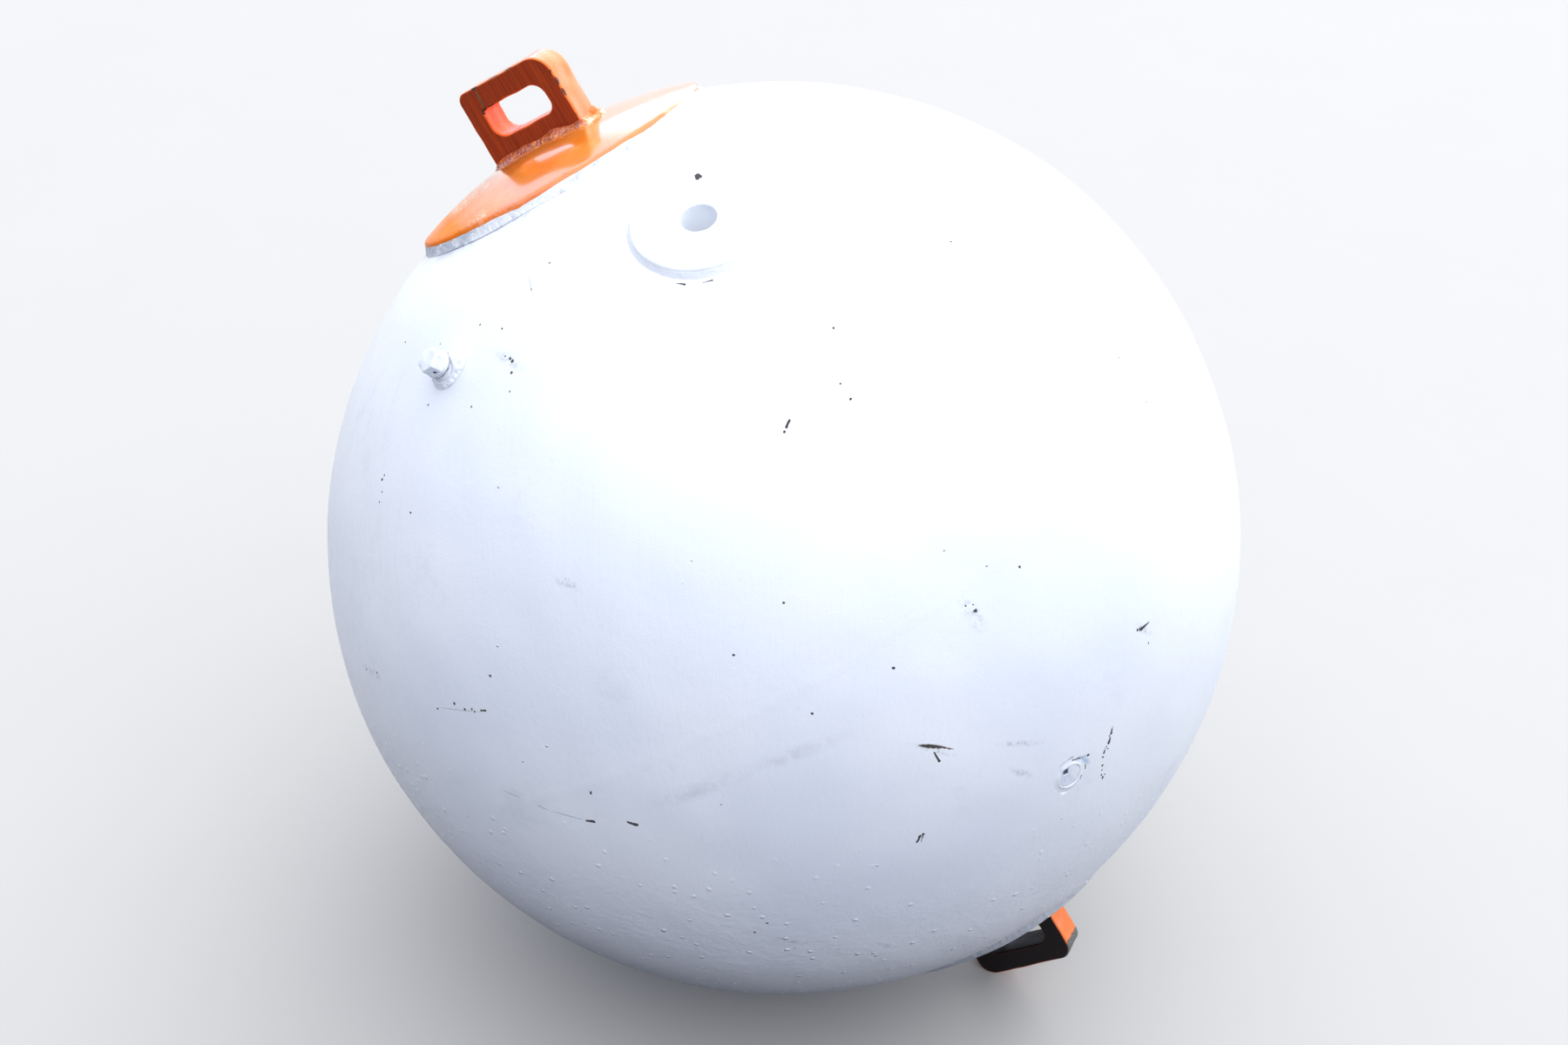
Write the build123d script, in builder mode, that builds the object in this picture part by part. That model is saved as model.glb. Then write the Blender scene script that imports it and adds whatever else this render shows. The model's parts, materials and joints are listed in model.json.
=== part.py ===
from build123d import *
from math import acos, asin, atan2, cos, hypot, radians, sin, sqrt
import os

# Spherical steel mooring buoy, parked on a floor: it lies on its shell and on one corner of its lower padeye.
# Millimetres, +Z up. The floor is Z = 0, and the origin is where the shell touches it. The upper pole leans
# towards -X, and Y runs straight through both eyes.

# Shell: two pressed halves, welded round the equator. The wetted half is the thicker one.
shell_radius = 600.0
upper_wall = 6.0
lower_wall = 10.0
seam_depth = 4.5
seam_half_width = 4.0

# Doubler caps: dished discs that spread the mooring load at both poles.
cap_diameter = 400.0
cap_thickness = 12.0
cap_land = 7.0
cap_weld_leg = 6.0

# Padeyes: thick plates that stand on the caps, each with a rounded eye for a shackle.
plate_width = 150.0
plate_thickness = 40.0
plate_height = 100.0
plate_corner_radius = 22.0
plate_edge_break = 2.0
eye_width = 98.0
eye_height = 42.0
eye_corner_radius = 18.0
eye_top_wall = 31.0
plate_weld_leg = 9.0
plate_weld_toe = 1.0

# Port: a blind socket with a flat round pad, let into the upper half.
port_polar = 38.5
port_azimuth = -38.0
port_pad_diameter = 165.0
port_pad_rise = 5.0
port_pad_edge = 2.0
port_bore_diameter = 43.5
port_bore_depth = 45.0
port_mouth_break = 1.5
port_barrel_wall = 5.0
port_barrel_floor = 5.0
port_weld_leg = 6.0

# Test fitting: a half coupling in the upper half, closed by a hexagon plug with a collar.
test_polar = 39.5
test_azimuth = -92.5
coupling_wall = 7.0
coupling_rise = 9.0
coupling_depth = 18.0
coupling_weld_leg = 7.0
plug_thread_diameter = 26.0
plug_thread_length = 16.0
plug_collar_width = 3.5
plug_collar_thickness = 5.0
plug_hexagon_flats = 25.0
plug_hexagon_height = 15.0
plug_hexagon_break = 1.5
seal_thickness = 3.0

# Drain: a flush boss in the lower half, closed by a sunk plug with a square socket.
drain_polar = 119.0
drain_azimuth = -38.0
drain_boss_wall = 5.5
drain_boss_rise = 2.5
drain_boss_depth = 18.0
drain_boss_edge = 1.2
drain_plug_diameter = 35.0
drain_plug_sink = 1.5
drain_plug_length = 14.0
drain_square = 9.5
drain_square_depth = 8.0

# Fit of the screwed plugs in their threads, on the radius.
thread_clearance = 0.25

cap_radius = shell_radius + cap_thickness
plate_reach = cap_radius + plate_height

# As it lies, the lower plate's round corner is on the floor together with the shell. That corner's middle is
# corner_down along the axis and corner_out across it, so the lean follows from one right triangle.
corner_down = plate_reach - plate_corner_radius
corner_out = plate_width / 2 - plate_corner_radius
corner_height = shell_radius - plate_corner_radius
lean = atan2(corner_out, corner_down) + acos(corner_height / hypot(corner_out, corner_down))

# The buoy's own directions: its axis from lower to upper pole, the plates' width, and their thickness.
centre = Vector(0, 0, shell_radius)
axis_up = Vector(-sin(lean), 0, cos(lean))
plate_along = Vector(cos(lean), 0, sin(lean))
plate_across = axis_up.cross(plate_along)


def half_section(direction, side):
    """Plane through the shell's middle whose X runs out to the side and whose Y runs along direction."""
    return Plane(origin=centre, x_dir=side, z_dir=side.cross(direction))


def ball_point(radius, angle):
    """Point of a half section on a ball about the middle, at an angle in radians from the section's Y."""
    return (radius * sin(angle), radius * cos(angle))


def ball_arc(radius, start, end):
    """Arc of a half section on a ball about the middle, between two angles."""
    middle = ball_point(radius, (start + end) / 2)
    return ThreePointArc(ball_point(radius, start), middle, ball_point(radius, end))


def shell_point(out):
    """Point of a half section on the shell's outside, at a distance out from the section's Y."""
    return (out, sqrt(shell_radius**2 - out**2))


def shell_arc(start, end):
    """Arc of a half section on the shell's outside, between two distances out from the section's Y."""
    return ball_arc(shell_radius, asin(start / shell_radius), asin(end / shell_radius))


def fitting_directions(polar, azimuth):
    """A fitting's outward axis, and the side that points away from the upper pole."""
    polar, azimuth = radians(polar), radians(azimuth)
    spoke = plate_along * cos(azimuth) + plate_across * sin(azimuth)
    outward = axis_up * cos(polar) + spoke * sin(polar)
    downhill = spoke * cos(polar) - axis_up * sin(polar)
    return outward, downhill


def fitting_plane(fitting, height=0.0):
    """Plane square to a fitting's axis, at a height from the shell's middle."""
    outward, downhill = fitting
    return Plane(origin=centre + outward * height, x_dir=downhill, z_dir=outward)


def fillet_weld(fitting, out, leg):
    """Ring of weld on the shell, in the corner round a piece that stands out from the fitting's axis."""
    with BuildPart() as weld:
        with BuildSketch(half_section(*fitting)):
            with BuildLine():
                foot = shell_arc(out, out + leg)
                Polyline(foot @ 1, (out, shell_point(out)[1] + leg), foot @ 0)
            make_face()
        revolve(axis=Axis(centre, fitting[0]))
    return weld


def save(builder, name):
    """Label a finished piece and write it under its name."""
    builder.part.label = name
    export_step(builder.part, f"parts/{name}.step")


os.makedirs("parts", exist_ok=True)

port = fitting_directions(port_polar, port_azimuth)
test = fitting_directions(test_polar, test_azimuth)
drain = fitting_directions(drain_polar, drain_azimuth)

cap_angle = asin(cap_diameter / 2 / shell_radius)
cap_bevel_angle = (cap_thickness - cap_land) / cap_radius
cap_weld_angle = cap_weld_leg / shell_radius
seam_angle = asin(seam_half_width / shell_radius)
equator = radians(90)
port_barrel_radius = port_bore_diameter / 2 + port_barrel_wall
plug_thread_radius = plug_thread_diameter / 2
coupling_radius = plug_thread_radius + coupling_wall
plug_collar_radius = plug_thread_radius + plug_collar_width
drain_plug_radius = drain_plug_diameter / 2
drain_boss_radius = drain_plug_radius + drain_boss_wall

# Shell halves. Columns: name, direction of the pole, wall, and the fittings let in with their radii.
shell_halves = [
    ("upper_shell", axis_up, upper_wall, [(port, port_barrel_radius), (test, coupling_radius)]),
    ("lower_shell", -axis_up, lower_wall, [(drain, drain_boss_radius)]),
]
for name, pole, wall, fittings in shell_halves:
    with BuildPart() as shell:
        with BuildSketch(half_section(pole, plate_along)):
            with BuildLine():
                outside = ball_arc(shell_radius, 0, equator - seam_angle)
                inside = ball_arc(shell_radius - wall, equator, 0)
                Polyline(outside @ 1, (shell_radius - seam_depth, 0), inside @ 0)
                Line(inside @ 1, outside @ 0)
            make_face()
        revolve(axis=Axis(centre, pole))
        for fitting, radius in fittings:
            with BuildSketch(fitting_plane(fitting)):
                Circle(radius)
            extrude(amount=2 * shell_radius, mode=Mode.SUBTRACT)
    save(shell, name)

# Weld that fills the groove between the halves, ground flush with the shell.
with BuildPart() as seam_weld:
    with BuildSketch(half_section(axis_up, plate_along)):
        with BuildLine():
            face = ball_arc(shell_radius, equator - seam_angle, equator + seam_angle)
            Polyline(face @ 1, (shell_radius - seam_depth, 0), face @ 0)
        make_face()
    revolve(axis=Axis(centre, axis_up))
save(seam_weld, "seam_weld")

# Both ends of the buoy are alike. Columns: name, direction of the pole.
for end, pole in [("upper", axis_up), ("lower", -axis_up)]:
    section = half_section(pole, plate_along)

    # Dished cap on the shell, its rim square at the foot and bevelled above.
    with BuildPart() as cap:
        with BuildSketch(section):
            with BuildLine():
                outside = ball_arc(cap_radius, 0, cap_angle - cap_bevel_angle)
                inside = ball_arc(shell_radius, cap_angle, 0)
                Polyline(outside @ 1, ball_point(shell_radius + cap_land, cap_angle), inside @ 0)
                Line(inside @ 1, outside @ 0)
            make_face()
        revolve(axis=Axis(centre, pole))
    save(cap, f"{end}_cap")

    # Weld in the corner between the cap's rim and the shell.
    with BuildPart() as cap_weld:
        with BuildSketch(section):
            with BuildLine():
                foot = ball_arc(shell_radius, cap_angle, cap_angle + cap_weld_angle)
                Polyline(foot @ 1, ball_point(shell_radius + cap_weld_leg, cap_angle), foot @ 0)
            make_face()
        revolve(axis=Axis(centre, pole))
    save(cap_weld, f"{end}_cap_weld")

    # Padeye: a plate from the middle outwards, with its outer corners and its eye rounded and its edges
    # broken, cut to the cap's ball so that its foot seats on the dished cap.
    with BuildPart() as padeye:
        with BuildSketch(section):
            Rectangle(plate_width, plate_reach, align=(Align.CENTER, Align.MIN))
            fillet(vertices().group_by(Axis.Y)[-1], plate_corner_radius)
            with Locations((0, plate_reach - eye_top_wall - eye_height / 2)):
                RectangleRounded(eye_width, eye_height, eye_corner_radius, mode=Mode.SUBTRACT)
        extrude(amount=plate_thickness / 2, both=True)
        broad_faces = faces().sort_by(Axis(centre, plate_across))
        chamfer(broad_faces[0].edges() + broad_faces[-1].edges(), plate_edge_break)
        with Locations(centre):
            Sphere(cap_radius, mode=Mode.SUBTRACT)
    save(padeye, f"{end}_padeye")

    # Weld round the plate's foot: a sloped collar, cut by the plate and by the cap's ball.
    weld_top = cap_radius + plate_weld_leg
    weld_height = 2 * (weld_top - sqrt(cap_radius**2 - (plate_width / 2) ** 2))
    weld_spread = plate_weld_toe + weld_height
    with BuildPart() as padeye_weld:
        for height, spread in [(weld_top - weld_height, weld_spread), (weld_top, plate_weld_toe)]:
            with BuildSketch(Plane(origin=centre + pole * height, x_dir=plate_along, z_dir=pole)):
                RectangleRounded(plate_width + 2 * spread, plate_thickness + 2 * spread, spread)
        loft()
        with Locations(centre):
            Sphere(cap_radius, mode=Mode.SUBTRACT)
        add(padeye.part, mode=Mode.SUBTRACT)
    save(padeye_weld, f"{end}_padeye_weld")

# Port socket: a flat pad seated on the shell, with a blind barrel that goes through it.
port_top = shell_radius + port_pad_rise
port_bottom = port_top - port_bore_depth
port_pad_radius = port_pad_diameter / 2
port_bore_radius = port_bore_diameter / 2
with BuildPart() as port_socket:
    with BuildSketch(half_section(*port)):
        with BuildLine():
            seat = shell_arc(port_barrel_radius, port_pad_radius)
            Polyline(
                seat @ 1,
                (port_pad_radius, port_top - port_pad_edge),
                (port_pad_radius - port_pad_edge, port_top),
                (port_bore_radius + port_mouth_break, port_top),
                (port_bore_radius, port_top - port_mouth_break),
                (port_bore_radius, port_bottom),
                (0, port_bottom),
                (0, port_bottom - port_barrel_floor),
                (port_barrel_radius, port_bottom - port_barrel_floor),
                seat @ 0,
            )
        make_face()
    revolve(axis=Axis(centre, port[0]))
save(port_socket, "port_socket")

port_weld = fillet_weld(port, port_pad_radius, port_weld_leg)
save(port_weld, "port_weld")

# Half coupling through the shell, with a tapped bore for the plug.
coupling_top = shell_radius + coupling_rise
with BuildPart() as coupling:
    with BuildSketch(fitting_plane(test, shell_radius - coupling_depth)):
        Circle(coupling_radius)
        Circle(plug_thread_radius, mode=Mode.SUBTRACT)
    extrude(amount=coupling_depth + coupling_rise)
save(coupling, "test_coupling")

coupling_weld = fillet_weld(test, coupling_radius, coupling_weld_leg)
save(coupling_weld, "test_coupling_weld")

# Flat seal between the coupling and the plug's collar.
with BuildPart() as seal:
    with BuildSketch(fitting_plane(test, coupling_top)):
        Circle(plug_collar_radius)
        Circle(plug_thread_radius, mode=Mode.SUBTRACT)
    extrude(amount=seal_thickness)
save(seal, "test_seal")

# Plug: thread, collar and hexagon head with its top edges broken.
collar_foot = coupling_top + seal_thickness
with BuildPart() as test_plug:
    with BuildSketch(fitting_plane(test, collar_foot)):
        Circle(plug_thread_radius - thread_clearance)
    extrude(amount=-(seal_thickness + plug_thread_length))
    with BuildSketch(fitting_plane(test, collar_foot)):
        Circle(plug_collar_radius)
    extrude(amount=plug_collar_thickness)
    with BuildSketch(fitting_plane(test, collar_foot + plug_collar_thickness)):
        RegularPolygon(plug_hexagon_flats / 2, 6, major_radius=False)
    extrude(amount=plug_hexagon_height)
    chamfer(faces().sort_by(Axis(centre, test[0]))[-1].edges(), plug_hexagon_break)
save(test_plug, "test_plug")

# Drain boss: a ring through the shell with a low lip, its edges broken.
with BuildPart() as drain_boss:
    with BuildSketch(fitting_plane(drain, shell_radius - drain_boss_depth)):
        Circle(drain_boss_radius)
        Circle(drain_plug_radius, mode=Mode.SUBTRACT)
    extrude(amount=drain_boss_depth + drain_boss_rise)
    chamfer(faces().sort_by(Axis(centre, drain[0]))[-1].edges(), drain_boss_edge)
save(drain_boss, "drain_boss")

# Drain plug, screwed in below the lip, with a square socket for its key.
drain_plug_top = fitting_plane(drain, shell_radius + drain_boss_rise - drain_plug_sink)
with BuildPart() as drain_plug:
    with BuildSketch(drain_plug_top):
        Circle(drain_plug_radius - thread_clearance)
    extrude(amount=-drain_plug_length)
    with BuildSketch(drain_plug_top):
        Rectangle(drain_square, drain_square)
    extrude(amount=-drain_square_depth, mode=Mode.SUBTRACT)
save(drain_plug, "drain_plug")
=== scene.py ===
import json
import math

import bmesh
import bpy
import numpy as np
from mathutils import Matrix, Vector


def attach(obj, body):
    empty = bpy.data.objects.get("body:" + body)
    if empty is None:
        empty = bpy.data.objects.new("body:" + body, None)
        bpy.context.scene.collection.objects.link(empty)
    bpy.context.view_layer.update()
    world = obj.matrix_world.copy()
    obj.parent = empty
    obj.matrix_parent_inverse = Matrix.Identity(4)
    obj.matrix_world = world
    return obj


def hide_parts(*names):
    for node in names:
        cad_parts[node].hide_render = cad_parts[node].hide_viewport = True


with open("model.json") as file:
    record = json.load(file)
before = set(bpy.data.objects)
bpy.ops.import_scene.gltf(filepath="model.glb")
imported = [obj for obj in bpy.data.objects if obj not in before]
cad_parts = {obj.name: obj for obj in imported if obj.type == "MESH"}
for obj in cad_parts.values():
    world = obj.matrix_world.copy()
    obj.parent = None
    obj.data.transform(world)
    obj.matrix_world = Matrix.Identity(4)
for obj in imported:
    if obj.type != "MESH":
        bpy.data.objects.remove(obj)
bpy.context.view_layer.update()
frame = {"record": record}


# Direction of length one: a way over its own length.
def unitWay(way):
    return way / np.linalg.norm(way)


# The buoy's own directions, from the eyes that the record gives.
mounts = {mount["name"]: mount for mount in frame["record"]["mounts"]}
upperEye, lowerEye = (np.array(mounts[name]["pos_m"]) for name in ("upper_eye", "lower_eye"))
centre = (upperEye + lowerEye) / 2
axisUp = unitWay(upperEye - lowerEye)
plateAcross = np.array(mounts["upper_eye"]["axis"])
plateAlong = np.cross(plateAcross, axisUp)
shellRadius = centre[2]
signs = {"upper": 1, "lower": -1}  # each end's way along the axis

view = {
    "distance": 5.5,  # camera to the shell's middle, in shell radii
    "pole": (-0.4953, 0.8304, 0.2551),  # the upper pole as the camera sees it: right, up, nearer
    "turn": 36.0,  # degrees that the plate is turned about the axis
    "limb": 524.5,  # the shell's outline in the picture, in pixels
    "middle": (900.0, 617.5),
    "picture": (1800, 1200),
    "sensor": 36.0,
}


# Camera axes in the row frame: the seen axes of the buoy carried onto its own axes.
def cameraAxes():
    pole = unitWay(np.array(view["pole"]))
    level = unitWay(np.array([pole[1], -pole[0], 0]))
    facing = unitWay(np.array([0, 0, 1]) - pole[2] * pole)
    turn = math.radians(view["turn"])
    along = level * math.cos(turn) + facing * math.sin(turn)
    seen = np.column_stack([along, np.cross(pole, along), pole])
    return np.column_stack([plateAlong, plateAcross, axisUp]) @ seen.T


camAxes = cameraAxes()
camRight, camUpward, camNearer = camAxes.T
camPlace = centre + camNearer * view["distance"] * shellRadius
camPixels = view["limb"] * math.sqrt(view["distance"] ** 2 - 1)


# Camera: its lens from the pixels of the shell's outline, shifted so that the shell's middle falls in its place.
def makeCamera():
    camera = bpy.data.objects.new("camera", bpy.data.cameras.new("camera"))
    camera.matrix_world = Matrix.Translation(Vector(camPlace)) @ Matrix(camAxes.tolist()).to_4x4()
    wide, high = view["picture"]
    camera.data.sensor_width = view["sensor"]
    camera.data.lens = camPixels / wide * view["sensor"]
    camera.data.shift_x = (wide / 2 - view["middle"][0]) / wide
    camera.data.shift_y = (view["middle"][1] - high / 2) / wide
    bpy.context.collection.objects.link(camera)
    bpy.context.scene.camera = camera
    print("camera", camPlace.round(3), "lens", round(camera.data.lens, 1))


makeCamera()


# Direction from the camera through a place in the picture.
def pictureRay(across, down):
    return camAxes @ unitWay(np.array([across - view["middle"][0], view["middle"][1] - down, -camPixels]))


# Point of the shell under a place in the picture: the ray from the camera cut with the ball.
def shellSpot(across, down):
    ray, gap = pictureRay(across, down), camPlace - centre
    half = gap @ ray
    return camPlace + ray * (-half - math.sqrt(half * half - gap @ gap + shellRadius**2))


# Angles of a full turn in even steps.
def fullTurn(count):
    return np.arange(count) * 2 * math.pi / count


# Directions swung from a first way to a second: cosine of the one and sine of the other.
def swing(angle, first, second):
    return np.cos(angle)[..., None] * first + np.sin(angle)[..., None] * second


# Unit directions on the ball: polar angle down from the upper pole, azimuth round from the plates' width.
def ballWay(polar, azimuth):
    return swing(polar, axisUp, swing(azimuth, plateAlong, plateAcross))


# Polar angle that is counted from either end's own pole.
def fromPole(end, polar):
    return polar if end == "upper" else math.pi - polar


# A fitting's outward axis, downhill side and level side.
def fittingAxes(fitting):
    polar, azimuth = math.radians(fitting["polar"]), math.radians(fitting["azimuth"])
    spoke = swing(azimuth, plateAlong, plateAcross)
    outward, downhill = swing(polar, axisUp, spoke), swing(polar, spoke, -axisUp)
    return outward, downhill, np.cross(outward, downhill)


# Smooth unevenness: cosines of plane waves in chance directions, added up to a spread of about one.
def ripple(points, length, seed, count=24):
    chance = np.random.default_rng(seed)
    way = chance.normal(size=(count, 3))
    way /= np.linalg.norm(way, axis=1)[:, None]
    pace = 2 * math.pi / length * chance.uniform(0.6, 1.5, (count, 1))
    start = chance.uniform(0, 2 * math.pi, count)
    return np.cos(points @ (way * pace).T + start).sum(-1) * math.sqrt(2 / count)


# Smooth step from 0 at low to 1 at high.
def ease(value, low, high):
    part = np.clip((value - low) / (high - low), 0, 1)
    return part * part * (3 - 2 * part)


# Mesh object of a grid: rows of points whose columns close on themselves, and whose rows may close too.
# Rows that shrink to a point are merged, and the faces are turned outwards.
def gridPiece(name, grid, wrapRows=False, marks=None):
    rows, cols = grid.shape[:2]
    row = np.arange(rows if wrapRows else rows - 1)[:, None]
    col = np.arange(cols)[None, :]
    after, beside = (row + 1) % rows, (col + 1) % cols
    corners = [row * cols + col, row * cols + beside, after * cols + beside, after * cols + col]
    faces = np.stack(np.broadcast_arrays(*corners), -1).reshape(-1, 4)
    mesh = bpy.data.meshes.new(name)
    mesh.from_pydata(grid.reshape(-1, 3).tolist(), [], faces.tolist())
    for label, values in (marks or {}).items():
        layer = mesh.attributes.new(label, "FLOAT", "POINT")
        layer.data.foreach_set("value", np.ascontiguousarray(values, np.float32).ravel())
    tidy = bmesh.new()
    tidy.from_mesh(mesh)
    bmesh.ops.remove_doubles(tidy, verts=tidy.verts, dist=2e-6)
    bmesh.ops.recalc_face_normals(tidy, faces=tidy.faces)
    tidy.to_mesh(mesh)
    tidy.free()
    mesh.polygons.foreach_set("use_smooth", np.ones(len(mesh.polygons), bool))
    piece = bpy.data.objects.new(name, mesh)
    bpy.context.collection.objects.link(piece)
    return piece


# Surface of revolution: a profile of (out, height) carried round an axis through the shell's middle.
# An uneven function may give each point a push along the axis.
def turnedGrid(axes, profile, columns, uneven=None):
    outward, downhill, level = axes
    profile, angle = np.asarray(profile, float), fullTurn(columns)
    grid = centre + profile[:, 0, None, None] * swing(angle, downhill, level) + profile[:, 1, None, None] * outward
    if uneven is not None:
        grid = grid + uneven(grid, profile, angle)[..., None] * outward
    return grid


# Corner of a profile rounded by an arc: points about a middle, from one angle to another.
def roundCorner(middle, radius, start, end, steps=5):
    turn = np.radians(np.linspace(start, end, steps))
    return [(middle[0] + radius * math.cos(t), middle[1] + radius * math.sin(t)) for t in turn]


# Straight run of profile points between two places, without its ends.
def run(start, end, steps):
    part = np.linspace(0, 1, steps + 2)[1:-1, None]
    return (np.array(start) * (1 - part) + np.array(end) * part).tolist()


# Cut pieces out of a mesh and keep the result in its mesh.
def cutOut(piece, cutters):
    for cutter in cutters:
        cut = piece.modifiers.new("cut", "BOOLEAN")
        cut.operation, cut.solver, cut.object = "DIFFERENCE", "EXACT", cutter
    shape = bpy.data.meshes.new_from_object(piece.evaluated_get(bpy.context.evaluated_depsgraph_get()))
    piece.modifiers.clear()
    old, piece.data = piece.data, shape
    shape.name = piece.name
    bpy.data.meshes.remove(old)
    for cutter in cutters:
        bpy.data.objects.remove(cutter)


dressed = []


# Name what a new piece stands for, and its slot.
def settle(piece, slotName, *nodes):
    dressed.append((piece, slotName))
    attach(piece, "root")
    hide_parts(*nodes)
    return piece


# Fittings
port = {"polar": 38.5, "azimuth": -38.0, "pad": 0.0825, "rise": 0.005, "bore": 0.02175, "depth": 0.045,
        "barrel": 0.02675, "floor": 0.005, "corner": 0.003, "mouth": (0.0045, 0.0016), "edge": 0.0055,
        "seatSink": 0.0006, "uneven": 0.00025, "weldLeg": 0.0050, "weldRough": 0.00015}
test = {"polar": 39.5, "azimuth": -92.5, "coupling": 0.02, "rise": 0.009, "depth": 0.018, "lip": 0.001,
        "slimmer": 0.0035, "weldLeg": 0.0055, "weldRough": 0.0007, "weldHeap": (1.95, 1.6), "thread": 0.013,
        "pitch": 0.0008, "collar": 0.0170, "collarHeight": 0.005, "flats": 0.0288, "hexHeight": 0.0145, "sharp": 44,
        "seal": 0.003, "sealOut": 0.0165, "sealBulge": 0.0009, "headTurn": 4.5,
        "wireHeight": 0.0034, "wireAside": 0.0018, "wireHole": 0.0024, "wireReach": (0.004, 0.03)}
drain = {"polar": 119.0, "azimuth": -38.0, "boss": 0.023, "rise": 0.0011, "depth": 0.018, "plug": 0.0155, "lip": 0.0009,
         "sink": 0.0008, "length": 0.014, "square": 0.0078, "squareDepth": 0.008, "socket": (1223.6, 886.8),
         "lowSide": ((1231, 888), (1219, 899))}  # the last two in the picture's pixels
portAxes, testAxes, drainAxes = (fittingAxes(fitting) for fitting in (port, test, drain))
threadPlay = 0.00025  # of a plug in its thread

# Shell halves. Rows are polar angles in degrees: from, to and how many.
shell = {"wall": {"upper": 0.006, "lower": 0.010}, "columns": 540, "hidden": (0, 18.6, 5), "seen": (19, 90, 146),
         "inside": (90, 0, 14), "dent": 0.0007, "wave": 0.42, "smallDents": 0.3, "dentSink": 0.6, "stand": (0.05, 0.25),
         "cut": (0.5, 0.7)}


# Outside of the shell along a direction: the ball with shallow dents, none near the place where it stands.
def shellReach(way):
    points = centre + way * shellRadius
    clear = ease(np.linalg.norm(points, axis=-1), *shell["stand"])
    dents = ripple(points, shell["wave"], 11) + shell["smallDents"] * ripple(points, shell["wave"] / 4, 12)
    return shellRadius + clear * shell["dent"] * (dents - shell["dentSink"])


# Painted surface under a place in the picture: the port's flat pad, or else the dented shell.
def markSpot(across, down):
    ray, outward = pictureRay(across, down), portAxes[0]
    onPad = camPlace + ray * (shellRadius + port["rise"] - (camPlace - centre) @ outward) / (ray @ outward)
    if np.linalg.norm(np.cross(onPad - centre, outward)) < port["pad"]:
        return onPad
    way = unitWay(shellSpot(across, down) - centre)
    return centre + way * shellReach(way)


# One half: its outside from the pole to the equator, and its inside back to the pole.
def shellHalf(end):
    outer = np.r_[np.linspace(*shell["hidden"]), np.linspace(*shell["seen"])]
    polar = fromPole(end, np.radians(np.r_[outer, np.linspace(*shell["inside"])]))
    way = ballWay(polar[:, None], fullTurn(shell["columns"]))
    outside = np.arange(len(polar)) < len(outer)
    reach = np.where(outside[:, None], shellReach(way), shellRadius - shell["wall"][end])
    reach[0], reach[-1] = reach[0].mean(), reach[-1].mean()
    return gridPiece(f"{end}Shell", centre + way * reach[..., None])


# Plain rod along a fitting's axis, which cuts its hole in the shell.
def rod(axes, radius):
    low, high = shell["cut"]
    return gridPiece("rod", turnedGrid(axes, [(0, low), (radius, low), (radius, high), (0, high)], 96))


holes = {"upper": [(portAxes, port["barrel"]), (testAxes, test["coupling"])], "lower": [(drainAxes, drain["boss"])]}
for end in signs:
    half = shellHalf(end)
    cutOut(half, [rod(*hole) for hole in holes[end]])
    settle(half, "white_paint", f"{end}_shell")
    print(end, "shell half", len(half.data.polygons))

seam = {"columns": 720, "half": 0.012, "ridge": 0.00012, "sink": 0.00012, "root": 0.0045}


# Seam weld, ground nearly flush: a low lens carried round the equator.
def seamBand():
    angle, part = fullTurn(seam["columns"]), np.linspace(-1, 1, 13)
    way = ballWay((math.pi / 2 + part * seam["half"] / shellRadius)[:, None], angle)
    lumps = ripple(way * shellRadius, 0.05, 21)
    swell = (1 - part**2)[:, None] * np.clip(1 + 0.2 * lumps, 0.7, 1.5)
    top = centre + way * (shellReach(way) - seam["sink"] + (seam["ridge"] + seam["sink"]) * swell)[..., None]
    under = centre + ballWay(math.pi / 2, angle) * (shellRadius - seam["root"])
    return gridPiece("seamWeld", np.concatenate([top, under[None]]), wrapRows=True)


settle(seamBand(), "white_paint", "seam_weld")

# Caps and their rim welds. The rim's points are shares of its bevel inwards, and heights in millimetres.
cap = {"angle": math.asin(0.2 / shellRadius), "thick": 0.012, "land": 0.007, "columns": 600, "rows": 46, "seatRows": 8,
       "rim": [(1.0, 11.93), (0.75, 11.6), (0.45, 10.7), (0.2, 9.2), (0.06, 7.6), (0.0, 6.2), (0.0, 3.0)],
       "seatSink": 0.0005, "uneven": 0.00035, "rimUneven": 0.00035, "weldColumns": 1400, "weldRough": 0.00035,
       "weldLeg": {"upper": 0.0078, "lower": 0.024}, "weldTall": {"upper": (0.95, 0.0082), "lower": (0.46, 0.0113)}}
capReach = shellRadius + cap["thick"]


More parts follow.
